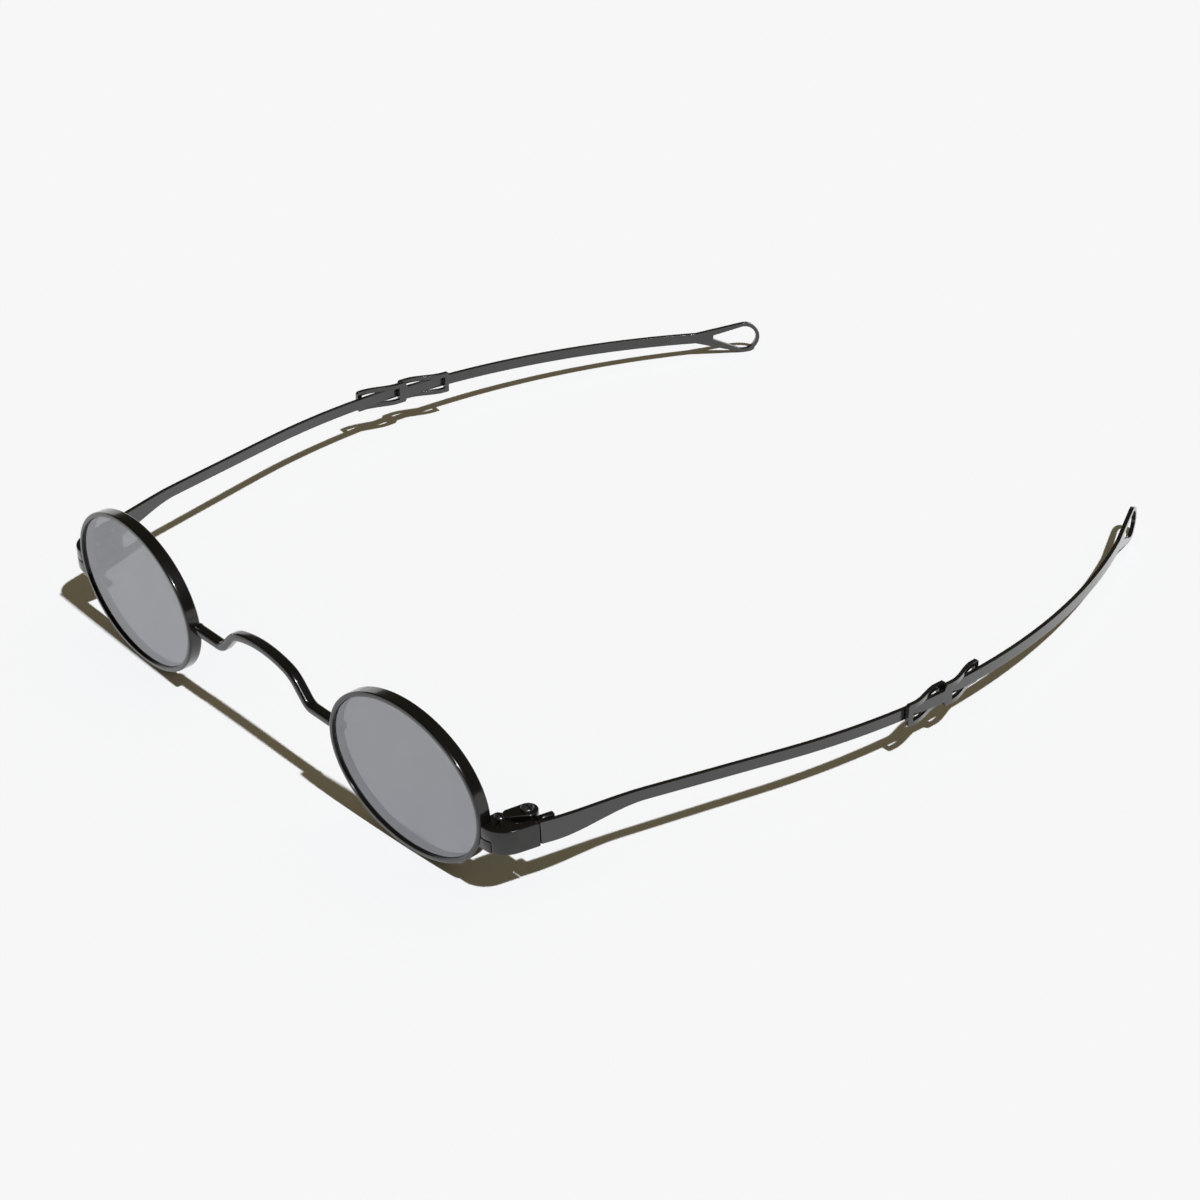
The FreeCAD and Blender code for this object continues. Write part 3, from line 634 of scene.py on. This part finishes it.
def make_flare(name, place, size, heading, material, settings):
    """A solder flare: a rounded block with its middle at place, whose foot spreads out on the rim.

    The foot is modelled towards -X and turned by heading about Z.
    """
    corner_share = 0.46
    # Each ring of the foot: its share of the length, and how much wider it is than the one before
    rings = ((0.5, 1.06), (0.3, 1.06), (0.2, settings.flare_spread))
    deselect()
    length = settings.flare_length
    bpy.ops.mesh.primitive_cube_add(size=1.0)
    piece = bpy.context.object
    piece.scale = (length, size[0], size[1])
    bpy.ops.object.transform_apply(location=False, rotation=False, scale=True)
    bpy.ops.object.mode_set(mode="EDIT")
    bpy.ops.mesh.select_mode(type="EDGE")
    bpy.ops.mesh.select_all(action="DESELECT")
    bpy.ops.object.mode_set(mode="OBJECT")
    for edge in piece.data.edges:
        a, b = (piece.data.vertices[i].co for i in edge.vertices)
        edge.select = abs(a.x - b.x) > length / 2
    bpy.ops.object.mode_set(mode="EDIT")
    bpy.ops.mesh.bevel(offset=min(size) * corner_share, segments=6, affect="EDGES")
    faces_where(piece, lambda normal: normal.x < -FACING)
    for part, spread in rings:
        bpy.ops.mesh.extrude_region_move(TRANSFORM_OT_translate={"value": (-length * part, 0, 0)})
        bpy.ops.transform.resize(value=(1.0, spread, spread))
    bpy.ops.object.mode_set(mode="OBJECT")
    piece.data.transform(Matrix.Rotation(heading, 4, "Z"))
    piece.data.transform(Matrix.Translation(place))
    return settle(name, "front", material)


class SPECTACLES_OT_solder(bpy.types.Operator):
    """Add the solder flares where the bridge meets the rims"""

    bl_idname = "spectacles.solder"
    bl_label = "Solder the bridge"

    def execute(self, context):
        settings = context.scene.spectacles_solder
        material = bpy.data.materials["black_enamel"]
        low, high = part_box("bridge")
        sizes = context_sizes()
        wire_share = 0.9
        across, tall = sizes.bridge_depth * wire_share, sizes.bridge_thickness * wire_share
        middle_z = low.z + sizes.bridge_thickness / 2
        # From the foot back to the middle of the block: the spread part and half of the block
        reach = settings.flare_length * 1.5
        for side, sign in SIDES:
            rim_low, rim_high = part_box(f"{side}_eyewire")
            inner = rim_low.x if sign > 0 else -rim_high.x
            middle_x = inner + settings.flare_sink - reach
            place = Vector((sign * middle_x, (low.y + high.y) / 2, middle_z))
            heading = math.pi if sign > 0 else 0.0
            make_flare(f"{side}_bridge_solder", place, (across, tall), heading, material, settings)
        return {"FINISHED"}


# Proportions of the hinge, each against the knuckle's radius
BEHIND_AXIS = 0.01
EAR_BEVEL = 0.09
NECK_CLEARANCE = 1.12
KNUCKLE_FIT = 0.985
KNUCKLE_BEVEL = 0.06
WEB_WIDTH = 0.8
WEB_BACK = 0.58
# The neck's width and how far it goes into the ears, against the ears' narrow end
NECK_WIDTH = 1.7
NECK_OVERLAP = 0.6
# The web's height against half of the knuckle's, and how far up the lower ear the tab begins
WEB_HEIGHT = 1.96
TAB_FOOT = 0.25
# The neck's, tab's and web's edges, the tab's hold in the strip and the knuckle's play
NECK_ROUND = 0.1 * MM
TAB_ROUND = 0.14 * MM
WEB_ROUND = 0.05 * MM
TAB_HOLD = 0.04 * MM
KNUCKLE_PLAY = 0.1 * MM


def make_teardrop(radius, length, taper, low, high):
    """An upright plate, round at the hinge and tapering along -Y to a smaller round end."""
    deselect()
    bpy.ops.mesh.primitive_circle_add(
        vertices=HINGE_STEPS, radius=radius, fill_type="NGON", location=(0, 0, low)
    )
    plate = bpy.context.object
    bpy.ops.object.transform_apply(location=True, rotation=True, scale=True)
    bpy.context.tool_settings.mesh_select_mode = (True, False, False)
    select_nothing(plate.data)
    for point in plate.data.vertices:
        point.select = point.co.y < -radius * BEHIND_AXIS
    bpy.ops.object.mode_set(mode="EDIT")
    bpy.ops.transform.resize(value=(taper, taper, 1.0))
    bpy.ops.transform.translate(value=(0, -length, 0))
    bpy.ops.mesh.select_mode(type="FACE")
    bpy.ops.mesh.select_all(action="SELECT")
    bpy.ops.mesh.extrude_region_move(TRANSFORM_OT_translate={"value": (0, 0, high - low)})
    faces_where(plate, lambda normal: abs(normal.z) > FACING)
    bpy.ops.mesh.bevel(offset=radius * EAR_BEVEL, segments=3, affect="EDGES")
    bpy.ops.mesh.select_all(action="SELECT")
    bpy.ops.mesh.normals_make_consistent(inside=False)
    bpy.ops.object.mode_set(mode="OBJECT")
    return plate


def make_block(size, place, heading, round_by):
    """A block with rounded edges, turned by heading about Z."""
    deselect()
    bpy.ops.mesh.primitive_cube_add(size=1.0)
    block = bpy.context.object
    block.scale = size
    bpy.ops.object.transform_apply(location=True, rotation=True, scale=True)
    bpy.ops.object.mode_set(mode="EDIT")
    bpy.ops.mesh.select_all(action="SELECT")
    bpy.ops.mesh.bevel(offset=round_by, segments=3, affect="EDGES")
    bpy.ops.object.mode_set(mode="OBJECT")
    block.data.transform(Matrix.Translation(place) @ Matrix.Rotation(heading, 4, "Z"))
    return block


def join(pieces):
    deselect()
    for piece in pieces:
        piece.select_set(True)
    bpy.context.view_layer.objects.active = pieces[0]
    bpy.ops.object.join()
    return bpy.context.object


def hinge_places(side):
    """The middles of the hinge screw and the closing screw, and the hinge's lowest and highest height."""
    low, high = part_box(f"{side}_hinge_screw")
    axis = (low + high) / 2
    low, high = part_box(f"{side}_closing_screw")
    clamp = (low + high) / 2
    low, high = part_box(f"{side}_front_hinge_leaf")
    return axis, clamp, low.z, high.z


class SPECTACLES_OT_hinges(bpy.types.Operator):
    """Shape the hinge leaves: two teardrop ears on the front, a knuckle and a tab on the temple"""

    bl_idname = "spectacles.hinges"
    bl_label = "Shape the hinges"

    def execute(self, context):
        sizes = context_sizes()
        material = bpy.data.materials["black_enamel"]
        for side, sign in SIDES:
            self.front_leaf(side, sizes, material)
            self.temple_leaf(side, sign, sizes, material)
        return {"FINISHED"}

    def front_leaf(self, side, sizes, material):
        axis, clamp, low, high = hinge_places(side)
        away = clamp - axis
        narrow = sizes.knuckle_radius * sizes.ear_taper
        length = math.hypot(away.x, away.y) - narrow - sizes.screw_room
        heading = math.atan2(away.y, away.x) + math.pi / 2
        turn = Matrix.Translation((axis.x, axis.y, 0)) @ Matrix.Rotation(heading, 4, "Z")
        ears = []
        for ear_low, ear_high in ((low, low + sizes.ear_height), (high - sizes.ear_height, high)):
            ear = make_teardrop(sizes.knuckle_radius, length, sizes.ear_taper, ear_low, ear_high)
            ear.data.transform(turn)
            ears.append(ear)
        clear = sizes.knuckle_radius * NECK_CLEARANCE
        depth = length - clear + narrow * NECK_OVERLAP
        neck_size = (narrow * NECK_WIDTH, depth, high - low - sizes.ear_height)
        neck_place = turn @ Vector((0, -clear - depth / 2, (low + high) / 2))
        ears.append(make_block(neck_size, neck_place, heading, NECK_ROUND))
        leaf = join(ears)
        settle(f"{side}_hinge_ears", "front", material)
        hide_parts(f"{side}_front_hinge_leaf")

    def temple_leaf(self, side, sign, sizes, material):
        axis, _, low, high = hinge_places(side)
        radius = sizes.knuckle_radius
        middle = (low + high) / 2
        half = (high - low) / 2 - sizes.ear_height - KNUCKLE_PLAY
        deselect()
        bpy.ops.mesh.primitive_cylinder_add(
            vertices=HINGE_STEPS,
            radius=radius * KNUCKLE_FIT,
            depth=half * 2,
            location=(axis.x, axis.y, middle),
        )
        knuckle = bpy.context.object
        bpy.ops.object.transform_apply(location=True, rotation=True, scale=True)
        faces_where(knuckle, lambda normal: abs(normal.z) > FACING)
        bpy.ops.mesh.bevel(offset=radius * KNUCKLE_BEVEL, segments=2, affect="EDGES")
        bpy.ops.object.mode_set(mode="OBJECT")
        bar_low, bar_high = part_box(f"{side}_temple_bar")
        end_low, end_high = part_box(f"{side}_endpiece")
        seam_x = max(abs(end_low.x), abs(end_high.x)) - sizes.strip_thickness / 2
        start = bar_low.y + sizes.tab_start
        tab_y = start + sizes.tab_length / 2
        inside = seam_x + (tab_y - bar_low.y) * math.tan(sizes.splay)
        tab_x = inside - (sizes.strip_thickness + sizes.tab_thickness) / 2 + TAB_HOLD
        top = end_high.z + sizes.tab_rise
        tab_height = top - (low + sizes.ear_height * TAB_FOOT)
        tab = make_block(
            (sizes.tab_thickness, sizes.tab_length, tab_height),
            Vector((sign * tab_x, tab_y, top - tab_height / 2)),
            -sign * sizes.splay,
            TAB_ROUND,
        )
        web_x = (abs(axis.x) + tab_x) / 2
        web = make_block(
            (tab_x - abs(axis.x), radius * WEB_WIDTH, half * WEB_HEIGHT),
            Vector((sign * web_x, axis.y + radius * WEB_BACK, middle)),
            0.0,
            WEB_ROUND,
        )
        leaf = join([tab, web, knuckle])
        settle(f"{side}_temple_knuckle", f"temple_{side}", material)
        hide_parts(f"{side}_temple_hinge_leaf")


class SPECTACLES_OT_edges(bpy.types.Operator):
    """Round the edges of the steel that stays as it is"""

    bl_idname = "spectacles.edges"
    bl_label = "Round the edges"

    def execute(self, context):
        sizes = context_sizes()
        sharp_from = 50
        for node in node_names(("endpiece", "closing_block")):
            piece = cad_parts[node]
            weld = piece.modifiers.new("weld", "WELD")
            weld.merge_threshold = WELD_GAP
            bevel = piece.modifiers.new("rounded_edges", "BEVEL")
            bevel.width = sizes.edge_bevel
            bevel.segments = 3
            bevel.limit_method = "ANGLE"
            bevel.angle_limit = math.radians(sharp_from)
        return {"FINISHED"}


# Sizes of the stage, in metres
FLOOR_RADIUS = 3.0
FLOOR_DROP = 0.02 * MM
WALL_RADIUS = 2.95
WALL_HEIGHT = 0.6
LAMP_PLACE = (0.3, 0.0, 0.5)

# The camera's axes, its place in millimetres from the middle of the front's near side, and its lens
CAMERA_RIGHT = Vector((0.63970, 0.76732, -0.04478))
CAMERA_UP = Vector((-0.37697, 0.36397, 0.85172))
CAMERA_AHEAD = Vector((-0.66984, 0.52796, -0.52209))
CAMERA_PLACE = Vector((358.303, -216.075, 278.116))
CAMERA_LENS = 98.28
CAMERA_SENSOR = 36.0
NEAREST_SEEN = 0.01
FARTHEST_SEEN = 20.0


def floor_finish(settings):
    """Pale seamless paper, with the finest tooth."""
    finish = Finish("pale_paper")
    tooth = finish.noise(scale=900.0, detail=2.0)
    albedo = settings.floor_albedo
    bump = finish.node("Bump", {}, Strength=0.02, Distance=0.02 * MM, Height=tooth)
    shader = finish.node("BsdfDiffuse", {}, Color=grey(albedo), Normal=bump.outputs[0])
    finish.feed(finish.output.inputs["Surface"], shader.outputs[0])
    return finish.material


def backdrop_finish(settings):
    """Pale to the eye and in reflections, and only as bright as the shade for all other light."""
    finish = Finish("pale_backdrop")
    path = finish.node("LightPath", {})
    seen = path.outputs["Is Camera Ray"]
    for name in ("Is Glossy Ray", "Is Transmission Ray"):
        either = finish.node("Math", {"operation": "MAXIMUM"}, **{"0": seen, "1": path.outputs[name]})
        seen = either.outputs[0]
    pale = grey(settings.floor_colour)
    dim = tuple(part / settings.floor_albedo for part in settings.shade)
    light = finish.node("Emission", {}, Color=pale, Strength=1.0)
    shade = finish.node("Emission", {}, Color=(*dim, 1.0), Strength=1.0)
    mix = finish.node("MixShader", {}, **{"0": seen, "1": shade.outputs[0], "2": light.outputs[0]})
    finish.feed(finish.output.inputs["Surface"], mix.outputs[0])
    return finish.material


class SPECTACLES_OT_stage(bpy.types.Operator):
    """Set up the floor, the backdrop, the light and the camera"""

    bl_idname = "spectacles.stage"
    bl_label = "Set the stage"

    def execute(self, context):
        settings = context.scene.spectacles_stage
        self.add_floor(settings)
        self.add_backdrop(settings)
        self.add_light(context, settings)
        self.add_camera(context)
        return {"FINISHED"}

    def add_floor(self, settings):
        deselect()
        bpy.ops.mesh.primitive_circle_add(vertices=STAGE_STEPS, radius=FLOOR_RADIUS, fill_type="NGON")
        floor = bpy.context.object
        floor.name = "floor"
        floor.location.z = -FLOOR_DROP
        floor.data.materials.append(floor_finish(settings))

    def add_backdrop(self, settings):
        deselect()
        bpy.ops.mesh.primitive_cylinder_add(
            vertices=STAGE_STEPS,
            radius=WALL_RADIUS,
            depth=WALL_HEIGHT,
            end_fill_type="NOTHING",
            location=(0, 0, WALL_HEIGHT / 2),
        )
        wall = bpy.context.object
        wall.name = "backdrop"
        wall.visible_shadow = False
        wall.data.materials.append(backdrop_finish(settings))

    def add_light(self, context, settings):
        drop = Vector((settings.lean[0], settings.lean[1], -1.0)).normalized()
        wanted = [settings.floor_colour - part for part in settings.shade]
        scale = math.pi / (settings.floor_albedo * -drop.z)
        strengths = [part * scale for part in wanted]
        peak = max(strengths)
        bpy.ops.object.light_add(type="SUN", location=LAMP_PLACE)
        sun = bpy.context.object
        sun.name = "key_light"
        sun.rotation_euler = drop.to_track_quat("-Z", "Y").to_euler()
        sun.data.energy = peak
        sun.data.color = [part / peak for part in strengths]
        sun.data.angle = settings.softness
        world = bpy.data.worlds.new("studio")
        context.scene.world = world
        world.use_nodes = True
        tree = world.node_tree
        tree.nodes.clear()
        lights = []
        fill = [part / settings.floor_albedo for part in settings.shade]
        for strength in (1.0, settings.ceiling):
            light = tree.nodes.new("ShaderNodeBackground")
            light.inputs["Color"].default_value = (*fill, 1.0)
            light.inputs["Strength"].default_value = strength
            lights.append(light)
        path = tree.nodes.new("ShaderNodeLightPath")
        mix = tree.nodes.new("ShaderNodeMixShader")
        output = tree.nodes.new("ShaderNodeOutputWorld")
        tree.links.new(path.outputs["Is Glossy Ray"], mix.inputs[0])
        for light, socket in zip(lights, (1, 2)):
            tree.links.new(light.outputs[0], mix.inputs[socket])
        tree.links.new(mix.outputs[0], output.inputs["Surface"])

    def add_camera(self, context):
        bpy.ops.object.camera_add()
        camera = bpy.context.object
        camera.name = "camera"
        turn = Matrix((CAMERA_RIGHT, CAMERA_UP, -CAMERA_AHEAD)).transposed().to_4x4()
        front = Vector((0, CAD_BOX[0].y, 0))
        camera.matrix_world = Matrix.Translation(front + CAMERA_PLACE * MM) @ turn
        camera.data.sensor_width = CAMERA_SENSOR
        camera.data.lens = CAMERA_LENS
        camera.data.clip_start = NEAREST_SEEN
        camera.data.clip_end = FARTHEST_SEEN
        context.scene.camera = camera
        context.scene.view_settings.view_transform = "Standard"


PROPERTY_GROUPS = (
    ("spectacles_sizes", SizeSettings),
    ("spectacles_enamel", EnamelSettings),
    ("spectacles_lens", LensSettings),
    ("spectacles_solder", SolderSettings),
    ("spectacles_stage", StageSettings),
)

OPERATORS = (
    SPECTACLES_OT_enamel,
    SPECTACLES_OT_screws,
    SPECTACLES_OT_rims,
    SPECTACLES_OT_lenses,
    SPECTACLES_OT_bridge,
    SPECTACLES_OT_hinges,
    SPECTACLES_OT_edges,
    SPECTACLES_OT_solder,
    SPECTACLES_OT_stage,
)


class SPECTACLES_PT_panel(bpy.types.Panel):
    """Lists the steps that dress the spectacles"""

    bl_idname = "SPECTACLES_PT_panel"
    bl_label = "Spectacles"
    bl_space_type = "VIEW_3D"
    bl_region_type = "UI"
    bl_category = "Spectacles"

    def draw(self, context):
        for operator in OPERATORS:
            self.layout.operator(operator.bl_idname)
        for attribute, group in PROPERTY_GROUPS:
            box = self.layout.box()
            for name in group.__annotations__:
                box.prop(getattr(context.scene, attribute), name)


def register():
    for attribute, group in PROPERTY_GROUPS:
        bpy.utils.register_class(group)
        setattr(bpy.types.Scene, attribute, bpy.props.PointerProperty(type=group))
    for part in OPERATORS + (SPECTACLES_PT_panel,):
        bpy.utils.register_class(part)


def unregister():
    for part in reversed(OPERATORS + (SPECTACLES_PT_panel,)):
        bpy.utils.unregister_class(part)
    for attribute, group in reversed(PROPERTY_GROUPS):
        delattr(bpy.types.Scene, attribute)
        bpy.utils.unregister_class(group)


def main():
    register()
    for operator in OPERATORS:
        step = operator.bl_idname.split(".")[1]
        getattr(bpy.ops.spectacles, step)()


if __name__ == "__main__":
    main()
